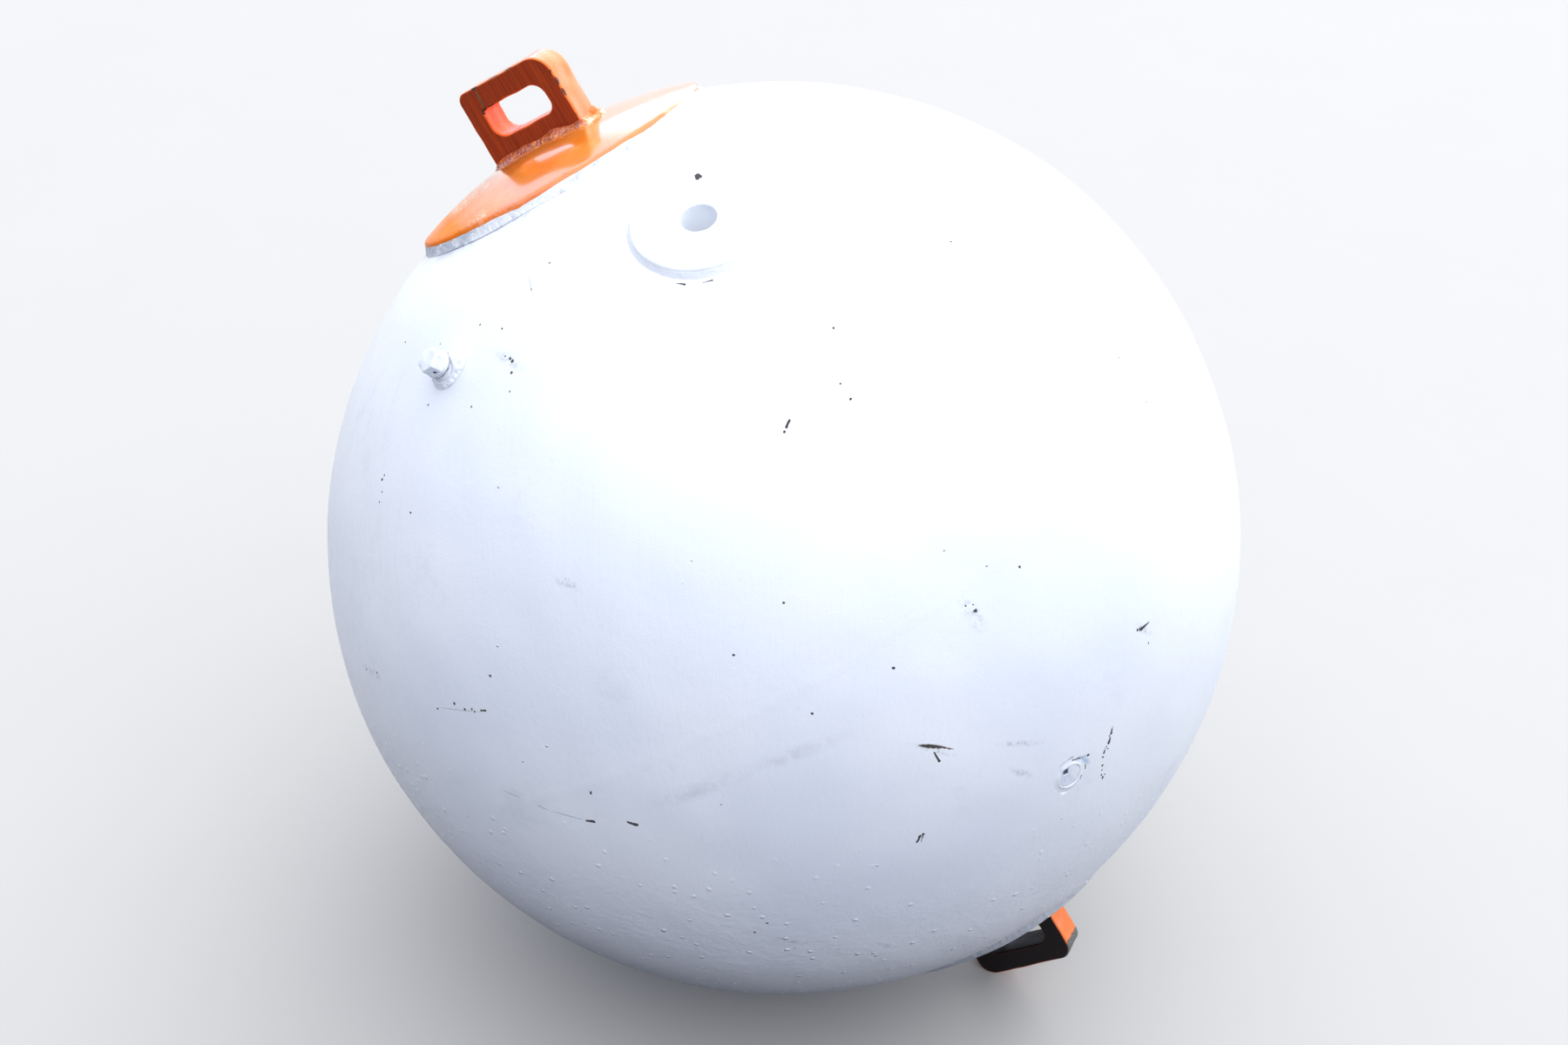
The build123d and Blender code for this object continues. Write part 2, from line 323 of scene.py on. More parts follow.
# Dished cap: its top from the pole out, a rounded rim, and its seat on the shell back to the pole.
def capPiece(end):
    sign, angle, seats, rim = signs[end], cap["angle"], cap["seatRows"], np.array(cap["rim"])
    bevel = (cap["thick"] - cap["land"]) / capReach
    topPolar = np.linspace(0, 1, cap["rows"]) ** 0.8 * (angle - bevel * 1.25)
    tops = len(topPolar)
    polar = np.r_[topPolar, angle - bevel * rim[:, 0], np.linspace(angle, 0, seats)]
    seat = np.full(seats, shellRadius - cap["seatSink"])
    reach = np.r_[np.full(tops, capReach), shellRadius + rim[:, 1] / 1000, seat]
    azimuth = fullTurn(cap["columns"])
    points = centre + ballWay(polar[:, None], azimuth) * shellRadius
    wave, edge = ripple(points, 0.11, 31 + sign), ripple(points[tops], 0.03, 35 + sign)
    atRim = ease(polar, angle - 4 * bevel, angle - bevel)
    atRim[tops + len(rim):] = 0
    polar = polar[:, None] + atRim[:, None] * edge[None] * cap["rimUneven"] / shellRadius
    onTop = np.r_[np.ones(tops), np.linspace(1, 0, len(rim)), np.zeros(seats)]
    reach = reach[:, None] + onTop[:, None] * wave * cap["uneven"]
    reach[0] = reach[0].mean()
    worn = np.r_[ease(topPolar, angle - 5 * bevel, angle - bevel), np.ones(len(rim) + seats)]
    return gridPiece(f"{end}Cap", centre + ballWay(fromPole(end, polar), azimuth) * reach[..., None],
                     marks={"rim": np.broadcast_to(worn[:, None], polar.shape)})


# Section of a fillet weld along its path: from its top on the wall out to its toe, closed under both surfaces.
def filletSection(leg, tall, hollow, root=0.003):
    part = np.linspace(0, 1, 11)[:, None]
    under = np.full((2, leg.size), -root)
    away = np.concatenate([leg * part, leg[None] * 0.7, under])
    rise = np.concatenate([tall * (1 - part) ** hollow - 0.0005 * part, under, tall[None]])
    swell = np.concatenate([np.sin(math.pi * np.clip(part, 0.06, 0.94)), np.zeros((3, 1))])
    return away, rise, swell


# Lumps of a weld: two sizes of unevenness over its points.
def weldLumps(grid, seed, length):
    return ripple(grid, length, seed) + 0.5 * ripple(grid, length / 2.3, seed + 1)


# Size that wanders along a weld: one and a share of unevenness, within limits.
def wander(path, share, length, seed):
    return np.clip(1 + share * ripple(path, length, seed), 0.7, 1.4)


# Rim weld: a low rough fillet in the corner between the cap's rim and the shell, its leg wandering a little.
def capBead(end):
    sign, azimuth = signs[end], fullTurn(cap["weldColumns"])
    path = ballWay(fromPole(end, cap["angle"]), azimuth) * shellRadius
    leg = cap["weldLeg"][end] * wander(path, 0.13, 0.10, 41 + sign)
    share, most = cap["weldTall"][end]
    away, rise, swell = filletSection(leg, np.clip(leg * share, 0.003, most), 1.3)
    way = ballWay(fromPole(end, cap["angle"] + away / shellRadius), azimuth)
    lumps = cap["weldRough"] * swell * weldLumps(way * shellRadius, 43 + sign, 0.010)
    return gridPiece(f"{end}CapWeld", centre + way * (shellRadius + rise + lumps)[..., None], wrapRows=True)


settle(capPiece("upper"), "orange_paint", "upper_cap")
settle(capPiece("lower"), "white_paint", "lower_cap")
settle(capBead("upper"), "weathered_weld", "upper_cap_weld")
settle(capBead("lower"), "white_paint", "lower_cap_weld")
print("caps and rim welds made")

# Padeyes. Corner radii run from the right foot round the top to the left foot.
padeye = {"width": 0.150, "thick": 0.040, "reach": 0.712, "edge": 0.0020, "columns": 560, "eye": (0.098, 0.042),
          "topWall": 0.031, "footCorner": 0.0005, "footSink": 0.003, "uneven": 0.00022,
          "corners": {"upper": (0.030, 0.013), "lower": (0.022, 0.022)},
          "eyeCorners": {"upper": (0.014, 0.020, 0.0065, 0.0195), "lower": (0.018, 0.018, 0.018, 0.018)},
          "weldLeg": 0.0085, "weldRough": 0.0004, "weldBlob": 0.010}


# Closed outline of a rectangle with rounded corners, sampled about every half millimetre, as (x, y).
def roundedOutline(halfWide, low, high, radii):
    corners = np.array([(halfWide, low), (halfWide, high), (-halfWide, high), (-halfWide, low)], float)
    points = []
    for spot, before, after, radius in zip(corners, np.roll(corners, 1, 0), np.roll(corners, -1, 0), radii):
        toBefore, toAfter = unitWay(before - spot), unitWay(after - spot)
        half = math.acos(np.clip(toBefore @ toAfter, -1, 1)) / 2
        reach = radius / math.tan(half)
        inner = spot + unitWay(toBefore + toAfter) * radius / math.sin(half)
        first, last = spot + toBefore * reach - inner, spot + toAfter * reach - inner
        start = math.atan2(first[1], first[0])
        sweep = (math.atan2(last[1], last[0]) - start + math.pi) % (2 * math.pi) - math.pi
        points.append(inner + radius * swing(start + sweep * np.linspace(0, 1, 24), np.array([1, 0]), np.array([0, 1])))
    line = np.vstack(points + [points[0][:1]])
    along = np.r_[0, np.cumsum(np.linalg.norm(np.diff(line, axis=0), axis=1))]
    even = np.linspace(0, along[-1], int(along[-1] / 0.0005), endpoint=False)
    return np.column_stack([np.interp(even, along, line[:, k]) for k in (0, 1)])


# Padeye: the plate's outline and its eye joined by a section that runs over the front, through the eye and
# back over the rear, with round edges. The foot follows the cap's ball.
def padeyePiece(end):
    sign, lower = signs[end], end == "lower"
    halfWide, halfThick, edge = padeye["width"] / 2, padeye["thick"] / 2, padeye["edge"]
    eyeWide, eyeHigh = padeye["eye"]
    eyeMiddle = padeye["reach"] - padeye["topWall"] - eyeHigh / 2
    seat = capReach - padeye["footSink"]
    low, high = math.sqrt(seat**2 - halfWide**2) - eyeMiddle, padeye["reach"] - eyeMiddle
    outer = roundedOutline(halfWide, low, high, (padeye["footCorner"], *padeye["corners"][end], padeye["footCorner"]))
    outer = outer[np.linspace(0, len(outer), padeye["columns"], endpoint=False).astype(int)]
    eye = roundedOutline(eyeWide / 2, -eyeHigh / 2, eyeHigh / 2, padeye["eyeCorners"][end])
    angle, eyeAngle = [np.arctan2(line[:, 1], line[:, 0]) for line in (outer, eye)]
    order = np.argsort(eyeAngle)
    inner = np.column_stack([np.interp(angle, eyeAngle[order], eye[order, k], period=2 * math.pi) for k in (0, 1)])
    foot = np.isclose(outer[:, 1], low, atol=1e-4)
    outer[foot, 1] = np.sqrt(seat**2 - outer[foot, 0] ** 2) - eyeMiddle
    span = np.linalg.norm(inner - outer, axis=1)
    inward = (inner - outer) / span[:, None]
    bend = np.radians(np.linspace(0, 90, 6))
    nearIn, nearUp = edge * (1 - np.cos(bend)), halfThick - edge * (1 - np.sin(bend))
    face = np.linspace(0, 1, 14)[1:-1]
    wall = np.linspace(1, -1, 10)[1:-1] * (halfThick - edge)
    level = np.full(len(face), halfThick)
    turnIn = np.outer(nearIn, np.ones(len(span)))
    across = np.vstack([turnIn, edge + np.outer(face, span - 2 * edge), span - turnIn[::-1],
                        np.outer(np.ones(len(wall)), span), span - turnIn, edge + np.outer(face[::-1], span - 2 * edge),
                        turnIn[::-1], np.zeros((len(wall), len(span)))])
    height = np.r_[nearUp, level, nearUp[::-1], wall, -nearUp, -level, -nearUp[::-1], -wall]
    flat = outer + across[..., None] * inward
    grid = (centre + flat[..., :1] * plateAlong + (flat[..., 1:] + eyeMiddle) * axisUp * sign
            - height[:, None, None] * plateAcross)
    push = ripple(grid, 0.03, 51 + sign) * padeye["uneven"]
    grid = grid + push[..., None] * (inward[None, :, :1] * plateAlong + inward[None, :, 1:] * axisUp * sign)
    rim = np.minimum(across, span - across)
    sunk = halfThick - np.abs(height)[:, None]
    sideWall = sunk > 1e-6
    broad = np.where(sideWall, 0, ease(rim, 0.0006, 0.0022))
    edgeOn = np.where(sideWall, 1 - ease(sunk, 0.0, 0.006), 1 - ease(rim, 0.0, 0.007))
    tip = np.linalg.norm(flat - np.array([halfWide, high]), axis=-1)
    scrape = (1 - ease(tip, 0.010, 0.032)) * sideWall * lower
    inEye = sideWall & (across > span / 2)
    # Weight of the painted shade: full on the lower plate's broad faces and eye, a little on the rest of it.
    shadeWeight = np.where((broad > 0) | inEye, 1.0, 0.12) * lower
    return gridPiece(f"{end}Padeye", grid, wrapRows=True, marks={
        "rim": edgeOn, "broad": broad, "scrape": scrape, "shadeWeight": shadeWeight, "broadOrEye": np.maximum(broad, inEye)})


# Foot weld: a lumpy fillet carried round the plate's foot on the cap's ball, with a blob at one corner.
def footBead(end):
    sign, halfWide, halfThick = signs[end], padeye["width"] / 2, padeye["thick"] / 2
    loop = roundedOutline(halfWide, -halfThick, halfThick, (0.003,) * 4)
    ahead = np.roll(loop, -1, 0) - np.roll(loop, 1, 0)
    ahead /= np.linalg.norm(ahead, axis=1)[:, None]
    out = np.column_stack([ahead[:, 1], -ahead[:, 0]])
    spot = centre + loop[:, :1] * plateAlong + loop[:, 1:] * plateAcross + axisUp * sign * capReach
    blob = np.exp(-((loop[:, 0] - halfWide) ** 2 + (loop[:, 1] - halfThick * 0.8) ** 2) / padeye["weldBlob"] ** 2)
    leg = padeye["weldLeg"] * (wander(spot, 0.15, 0.045, 61 + sign) + 0.6 * blob)
    away, rise, swell = filletSection(leg, leg * 0.85 + 0.004 * blob, 1.15)
    flat = loop[None] + away[..., None] * out[None]
    ball = np.sqrt(capReach**2 - (flat**2).sum(-1))
    grid = (centre + flat[..., :1] * plateAlong + flat[..., 1:] * plateAcross
            + ((ball + rise) * sign)[..., None] * axisUp)
    lumps = weldLumps(grid, 63 + sign, 0.009) * swell * (padeye["weldRough"] + 0.0009 * blob)
    lean = 0.7 * (out[:, :1] * plateAlong + out[:, 1:] * plateAcross) + 0.7 * sign * axisUp
    # Front side of the foot weld, which takes patches of painted shade.
    front = np.broadcast_to(ease(-loop[:, 1], halfThick - 0.004, halfThick - 0.001), ball.shape)
    return gridPiece(f"{end}PadeyeWeld", grid + lumps[..., None] * lean, wrapRows=True, marks={"shadeWeight": front})


for end in signs:
    settle(padeyePiece(end), "orange_paint", f"{end}_padeye")
    settle(footBead(end), "orange_paint", f"{end}_padeye_weld")
print("padeyes and foot welds made")


# Height of the shell's ball at a distance out from a fitting's axis.
def ballHeight(out):
    return np.sqrt(shellRadius**2 - out**2)


# Round weld on the shell: a lumpy fillet carried round a fitting, thicker on one side where a heap is given.
def ringBead(name, axes, out, leg, seed, rough, hollow=1.2, heap=None, tall=0.9):
    outward, downhill, level = axes
    angle = fullTurn(max(240, int(2 * math.pi * out / 0.0007)))
    spoke = swing(angle, downhill, level)
    size = leg * wander(spoke * out, 0.12, 0.06, seed)
    if heap is not None:
        size = size * (1 + heap[1] * np.exp(-((angle - heap[0] + math.pi) % (2 * math.pi) - math.pi) ** 2 / 0.6))
    away, rise, swell = filletSection(size, size * tall, hollow)
    far = out + away
    grid = centre + far[..., None] * spoke[None] + (ballHeight(far) + rise)[..., None] * outward
    lumps = weldLumps(grid, seed + 1, 0.011) * swell * rough
    return gridPiece(name, grid + lumps[..., None] * (0.6 * spoke[None] + 0.8 * outward), wrapRows=True)


# Port socket: a flat pad on the shell, its mouth and edge rounded, with a blind barrel inside.
def portPiece():
    top, bore, pad, barrel = shellRadius + port["rise"], port["bore"], port["pad"], port["barrel"]
    bottom, corner, edge, (mouth, drop) = top - port["depth"], port["corner"], port["edge"], port["mouth"]
    profile = [(0, bottom), *run((0, bottom), (bore - corner, bottom), 4)]
    profile += roundCorner((bore - corner, bottom + corner), corner, -90, 0)
    profile += run((bore, bottom + corner), (bore, top - drop), 8)
    turn = np.linspace(0, math.pi / 2, 8)
    profile += [(bore + mouth * (1 - math.cos(t)), top - drop * (1 - math.sin(t))) for t in turn]
    profile += run((bore + mouth, top), (pad - edge, top), 24)
    profile += roundCorner((pad - edge, top - edge), edge, 90, 0)
    profile += [(out, ballHeight(out) - port["seatSink"]) for out in np.linspace(pad, barrel, 8)]
    profile += [(barrel, bottom - port["floor"]), (0, bottom - port["floor"])]

    # A little unevenness of the painted top, none in the barrel.
    def uneven(grid, profile, angle):
        onTop = ease(profile[:, 0], bore + mouth, bore + 0.012) * (profile[:, 1] > top - 0.004)
        return onTop[:, None] * ripple(grid, 0.035, 71) * port["uneven"]

    return gridPiece("portSocket", turnedGrid(portAxes, profile, 300, uneven))


settle(portPiece(), "white_paint", "port_socket")
settle(ringBead("portWeld", portAxes, port["pad"], port["weldLeg"], 73, port["weldRough"], 1.1, tall=1.2),
       "white_paint", "port_weld")


# Half coupling: a ring through the shell with a rounded lip and a tapped bore, swept out to its full width below.
def couplingPiece():
    top, out, bore, lip = shellRadius + test["rise"], test["coupling"], test["thread"], test["lip"]
    low, slim = shellRadius - test["depth"], out - test["slimmer"]
    profile = [(bore, low), (bore, top - lip), (bore + lip, top)]
    profile += run((bore + lip, top), (slim - lip, top), 3)
    profile += roundCorner((slim - lip, top - lip), lip, 90, 0)
    profile += [(slim + test["slimmer"] * part**2, top - 0.002 - 0.006 * part) for part in np.linspace(0, 1, 8)]
    profile += run((out, top - 0.008), (out, low), 5) + [(out, low)]
    return gridPiece("testCoupling", turnedGrid(testAxes, profile, 160), wrapRows=True)


settle(couplingPiece(), "white_paint", "test_coupling")
settle(ringBead("testCouplingWeld", testAxes, test["coupling"], test["weldLeg"], 81, test["weldRough"], 1.0,
                test["weldHeap"]), "white_paint", "test_coupling_weld")


# Seal: a thin ring, its outside bulged by a sine.
def sealPiece():
    low, thick, bulge, bore = shellRadius + test["rise"], test["seal"], test["sealBulge"], test["thread"]
    out, middle = test["sealOut"] - bulge, low + thick / 2
    side = [(out + bulge * math.sin(t), middle - thick / 2 * math.cos(t)) for t in np.linspace(0, math.pi, 9)]
    return gridPiece("testSeal", turnedGrid(testAxes, [(bore, low), *side, (bore, low + thick)], 128), wrapRows=True)


settle(sealPiece(), "seal", "test_seal")


# Plug: thread, round collar and a hexagon head. The hexagon's radius is the half width across flats over a high
# root of the summed powers of its three axes' cosines, which leaves its corners a little rounded.
def plugPiece():
    outward, downhill, level = testAxes
    turn, sharp, collar = math.radians(test["headTurn"]), test["sharp"], test["collar"]
    foot = shellRadius + test["rise"] + test["seal"]
    collarTop = foot + test["collarHeight"]
    top = collarTop + test["hexHeight"]
    angle = fullTurn(240)
    thirds = np.abs(np.cos(angle[:, None] - np.radians([0, 60, 120]) - turn))
    hexagon = test["flats"] / 2 / (thirds**sharp).sum(1) ** (1 / sharp)
    thread = [(test["thread"] - threadPlay - 0.0009 * (k % 2), foot - test["pitch"] * k) for k in range(22, -1, -1)]
    rounds = [(0.0, thread[0][1])] + thread + roundCorner((collar - 0.0008, foot + 0.0008), 0.0008, -90, 60)
    rounds += [(collar - 0.0013, foot + 0.0018), (collar - 0.0013, foot + 0.0022)]
    rounds += roundCorner((collar - 0.0016, collarTop - 0.0016), 0.0016, 0, 90)
    head = [(1.01, collarTop), (1.0, collarTop + 0.0004)]  # shares of the hexagon
    head += [(1.0, height) for height in np.linspace(collarTop + 0.002, top - 0.0022, 8)]
    head += [(0.985, top - 0.0012), (0.95, top - 0.0004), (0.9, top)]
    head += [(part, top + 0.0001) for part in (0.7, 0.4, 0.0)]
    rows = [(np.full(240, out), height) for out, height in rounds] + [(hexagon * part, height) for part, height in head]
    spoke = swing(angle, downhill, level)
    piece = gridPiece("testPlug", np.stack([centre + out[:, None] * spoke + height * outward for out, height in rows]))
    flatWay = swing(turn, downhill, level)
    middle = centre + outward * (collarTop + test["wireHeight"]) + np.cross(outward, flatWay) * test["wireAside"]
    (near, far), hole = test["wireReach"], test["wireHole"]
    drill = [(0, near), (hole, near), (hole, far), (0, far)]
    drill = turnedGrid((flatWay, outward, np.cross(flatWay, outward)), drill, 32) - centre + middle
    cutOut(piece, [gridPiece("drill", drill)])
    return piece


settle(plugPiece(), "painted_plug", "test_plug")


# Drain boss: a low ring in the shell, its lip rounded and its foot run out in paint.
def drainPiece():
    top, out, bore, lip = shellRadius + drain["rise"], drain["boss"], drain["plug"], drain["lip"]
    low = shellRadius - drain["depth"]
    profile = [(bore, low), *run((bore, low), (bore, top - lip), 3)]
    profile += roundCorner((bore + lip, top - lip), lip, 180, 90)
    profile += [(bore + 0.0018, top - 0.0001), (bore + 0.0028, top - 0.0006)]
    foot = [(bore + 0.0042, 0.0003), (out, 0.0001), (out + 0.002, -0.0001), (out + 0.005, -0.0009), (out, -0.002)]
    profile += [(far, ballHeight(far) + rise) for far, rise in foot] + [(out, low)]

    # The lip stands out most on its lower left, and nearly sinks into the shell across from there.
    def uneven(grid, profile, angle):
        raised = ease(profile[:, 1], shellRadius - 0.0003, top - 0.0001) * (profile[:, 0] < bore + 0.004)
        high, low = (shellSpot(*spot) for spot in drain["lowSide"])
        share = swing(angle, *drainAxes[1:]) @ unitWay(low - high)
        way = (grid - centre) / np.linalg.norm(grid - centre, axis=-1)[..., None]
        lumps = 0.0002 * ripple(grid, 0.02, 91) + 0.0004 * share[None]
        return shellReach(way) - shellRadius + raised[:, None] * lumps

    return gridPiece("drainBoss", turnedGrid(drainAxes, profile, 180, uneven), wrapRows=True)


# Drain plug: a disc sunk in the boss, with a square socket to one side of its middle.
def drainPlugPiece():
    outward = drainAxes[0]
    top = shellReach(outward) + drain["rise"] - drain["sink"]
    out, low, edge = drain["plug"] - threadPlay, top - drain["length"], 0.001
    profile = [(0, low), (out, low), (out, top - edge)] + roundCorner((out - edge, top - edge), edge, 0, 90)
    profile += [(out * part, top + 0.0002 * (1 - part)) for part in (0.8, 0.5, 0.25, 0)]
    piece = gridPiece("drainPlug", turnedGrid(drainAxes, profile, 128))
    spot = shellSpot(*drain["socket"])
    middle = spot - outward * (outward @ (spot - centre))
    side = unitWay(np.cross(outward, camRight))
    key = np.array([[1, 1], [-1, 1], [-1, -1], [1, -1]]) * drain["square"] / 2
    corners = key[:, :1] * np.cross(side, outward) + key[:, 1:] * side
    floor, mouth = top - drain["squareDepth"], top + 0.01
    rows = [middle + part * corners + outward * height
            for part, height in ((0, floor), (1, floor), (1, mouth), (0, mouth))]
    cutOut(piece, [gridPiece("key", np.stack(rows))])
    return piece


settle(drainPiece(), "white_paint", "drain_boss")
settle(drainPlugPiece(), "painted_plug", "drain_plug")
print("fittings made")

# Materials. The easel holds the node tree that is being drawn.
easel = {"tree": None}


# New material on the easel, and its shader.
def startMaterial(name):
    made = bpy.data.materials.new(name)
    made.use_nodes = True
    easel["tree"] = made.node_tree
    return made, made.node_tree.nodes["Principled BSDF"]


# A node's inputs by label, each set to a value or joined to another node's output. Colours get their fourth part.
def feed(node, inputs):
    for label, value in inputs.items():
        socket = node.inputs[label]
        if isinstance(value, bpy.types.NodeSocket):
            easel["tree"].links.new(value, socket)
        else:
            socket.default_value = (*value, 1) if socket.type == "RGBA" else value


# Shader node with its inputs and settings, seen as one of its outputs.
def shade(kind, inputs=None, output=0, **settings):
    made = easel["tree"].nodes.new("ShaderNode" + kind)
    for label, value in settings.items():
        setattr(made, label, value)
    feed(made, inputs or {})
    return made.outputs[output]


# Math of two sockets or values, by its way.
def calc(way, first, second):
    return shade("Math", {0: first, 1: second}, operation=way)


def plus(first, second):  # the two added
    return calc("ADD", first, second)


def minus(first, second):  # the first less the second
    return calc("SUBTRACT", first, second)


def times(first, second):  # the two multiplied
    return calc("MULTIPLY", first, second)


# The same of vectors; lengths and dot products come out as numbers.
def vector(way, *inputs):
    output = "Value" if way in ("DOT_PRODUCT", "DISTANCE", "LENGTH") else "Vector"
    return shade("VectorMath", dict(enumerate(inputs)), output, operation=way)


# How far a place lies along a way, from the frame's origin.
def farAlong(where, way):
    return vector("DOT_PRODUCT", where, tuple(way))


# How far a place is from a spot.
def farFrom(where, spot):
    return vector("DISTANCE", where, tuple(spot))


# Straight ramp of a socket from bottom at low to top at high.
def ramp(value, low, high, bottom=0.0, top=1.0, kind="LINEAR"):
    return shade("MapRange", {"Value": value, "From Min": low, "From Max": high, "To Min": bottom, "To Max": top},
                 interpolation_type=kind)


# Smooth step of a socket from 0 at low to top at high; low may be the greater.
def step(value, low, high, top=1.0):
    return ramp(value, low, high, 0.0, top, "SMOOTHSTEP")


# Colour between two others, by a mask.
def blend(part, first, second):
    return shade("Mix", {0: part, 6: first, 7: second}, 2, data_type="RGBA")


# Cloudy noise over a place: waves to the metre, layers of finer waves, their share and how far they are warped.
def noise(where, scale, detail=2.0, rough=0.5, output=0, warp=0.0):
    return shade("TexNoise", {"Vector": where, "Scale": scale, "Detail": detail, "Roughness": rough,
                              "Distortion": warp}, output)


# Place on the piece, in metres of the frame.
def objectPlace():
    return shade("TexCoord", output="Object")


# Mark that a piece's own mesh carries.
def markOf(label):
    return shade("Attribute", output="Fac", attribute_name=label)


# Place shaken by a fine noise: as far to each side, so that what is drawn in it stays where it was put.
def shakenPlace(where, scale, reach):
    back = vector("SUBTRACT", where, (reach / 2,) * 3)
    return vector("MULTIPLY_ADD", noise(where, scale, 3, output=1), (reach,) * 3, back)


# Place seen in a turned box: moved to its middle, turned to its axes and divided by its half sizes.
def inBox(where, middle, axes, halves):
    turn = Matrix(np.column_stack(axes).tolist()).to_euler()
    return shade("Mapping", {"Vector": where, "Location": middle, "Rotation": turn, "Scale": halves},
                 vector_type="TEXTURE")


# Mask of a mark between two ends on a surface: 1 inside an ellipsoid that lies along it, falling to 0 at its skin.
def lyingMask(where, middle, ends, outward, half, deep, soft):
    length = ends[1] - ends[0]
    ahead = unitWay(length - outward * (outward @ length))
    halves = (np.linalg.norm(length) / 2 + half, half, deep)
    return step(vector("LENGTH", inBox(where, middle, (ahead, np.cross(outward, ahead), outward), halves)), 1.0, soft)


# Chain of masks joined by their greatest.
def greatest(masks):
    joined = masks[0]
    for mask in masks[1:]:
        joined = calc("MAXIMUM", joined, mask)
    return joined


# Cell spots: dots in a chance share of cells, each of a radius given as a part of the cell.
def dots(where, scale, radius, share, soft=0.6):
    cells = shade("TexVoronoi", {"Vector": where, "Scale": scale}, "Distance")
    pick = shade("SeparateColor", {"Color": cells.node.outputs["Color"]})
    return times(step(cells, radius, radius * soft), calc("LESS_THAN", pick, share))


# Bumps laid one on another: a height, its size in metres and its strength for each.
def bumps(*layers, normal=None):
    for height, size, strength in layers:
        under = {} if normal is None else {"Normal": normal}
        normal = shade("Bump", {"Height": height, "Distance": size, "Strength": strength, **under})
    return normal


# Chips of the white paint down to the steel: place in the picture's pixels, and radius in millimetres.
chips = [
    (801, 202, 3.2), (804, 203, 2.2), (799, 201.5, 1.6), (800.5, 205, 2.4), (900.2, 495.6, 1.6), (957, 376, 1.4),
    (965, 440, 1.4), (976.5, 457.6, 1.5), (438.4, 550.6, 1.9), (441, 546, 1.2), (471.7, 588.7, 1.4),
    (432.4, 772.5, 1.5), (420.5, 768.5, 1.5), (562.2, 776.5, 1.5), (842.3, 752.2, 1.4), (899.5, 692.5, 1.3),
    (932.5, 819.5, 1.5), (1025.6, 766.9, 1.7), (1092, 277, 1.3), (1284, 411, 1.3), (585.5, 411.5, 1.7),
    (588, 414.5, 1.9), (580, 409, 1.1), (587, 427.8, 1.7), (585.3, 449.3, 1.2), (630.7, 301.7, 1.2),
    (609.5, 332, 1.2), (1171, 651.1, 1.4), (1120.3, 701.6, 2.1), (1108.9, 696.2, 1.1), (1117.5, 694.6, 0.9),
    (521.2, 808.3, 1.7), (533.1, 814.7, 1.5), (541.3, 814.7, 1.3), (544.3, 817.7, 1.3), (502, 813.9, 1.3),
    (866.5, 1070.6, 1.5), (880.5, 1060.5, 1.4), (1059.5, 957.9, 1.6), (1272.1, 860, 1.2), (1274, 845.3, 1.1),
    (1266.5, 869.8, 1.4), (1266, 879.3, 1.5), (1265.6, 884.6, 1.1), (1264.9, 890.4, 1.4), (1268.8, 889.5, 1.0),
    (550.5, 372.4, 1.3), (576, 377, 1.3), (464.6, 392.7, 1.1), (529.7, 411.8, 1.1), (490.9, 464.7, 1.3),
    (540.6, 467, 1.1), (435.7, 576.5, 1.1), (438.6, 564.7, 1.2), (1305.5, 723.2, 1.7), (1308.5, 722.7, 2.0),
    (1318.4, 738.4, 1.1), (1249.6, 867.2, 1.6), (1241.7, 891.3, 1.0), (1240.8, 893.8, 1.0),
]

# Short dashes of bare steel: two ends in the picture's pixels, and the radius in millimetres at each.
dashes = [
    (1277.6, 834.5, 1276.1, 842.2, 0.6, 1.9), (1274.9, 847.0, 1273.4, 852.9, 1.0, 2.0),
    (1271.2, 857.0, 1269.6, 859.3, 0.9, 0.7), (1268.6, 862.0, 1267.8, 865.0, 1.2, 1.5),
    (1266.3, 892.5, 1265.8, 895.0, 1.4, 1.0), (1310.5, 721.8, 1318.5, 714.6, 2.0, 0.9),
    (720.8, 944.2, 730.8, 947.0, 1.3, 2.1), (672.9, 942.9, 681.3, 943.9, 1.2, 2.0),
    (678.0, 907.6, 678.2, 911.4, 1.2, 1.3), (1056.3, 960.0, 1052.4, 967.2, 1.5, 1.2),
    (1059.3, 960.0, 1057.5, 966.0, 0.9, 0.8), (906.2, 482.3, 902.6, 489.8, 1.4, 1.5),
    (776.5, 325.5, 786.0, 326.6, 0.6, 1.3), (806.0, 325.0, 818.0, 321.5, 0.6, 1.0),
    (551.4, 816.2, 557.0, 816.4, 1.1, 1.1), (1072.4, 864.2, 1078.0, 873.6, 1.0, 1.5),
    (1231.6, 873.3, 1240.0, 870.2, 0.9, 0.9), (1246.3, 878.6, 1246.3, 882.8, 0.9, 0.9),
    (1054.8, 855.9, 1066, 856.2, 0.8, 1.9), (1066, 856.2, 1086, 858.3, 1.9, 0.8),
]


# Balls strung along a dash, close enough to join.
def strung(dash):
    x0, y0, x1, y1, first, last = dash
    part = np.linspace(0, 1, 2 + int(math.hypot(x1 - x0, y1 - y0) / 1.6))
    return list(zip(x0 + (x1 - x0) * part, y0 + (y1 - y0) * part, first + (last - first) * part))


chips += [ball for dash in dashes for ball in strung(dash)]

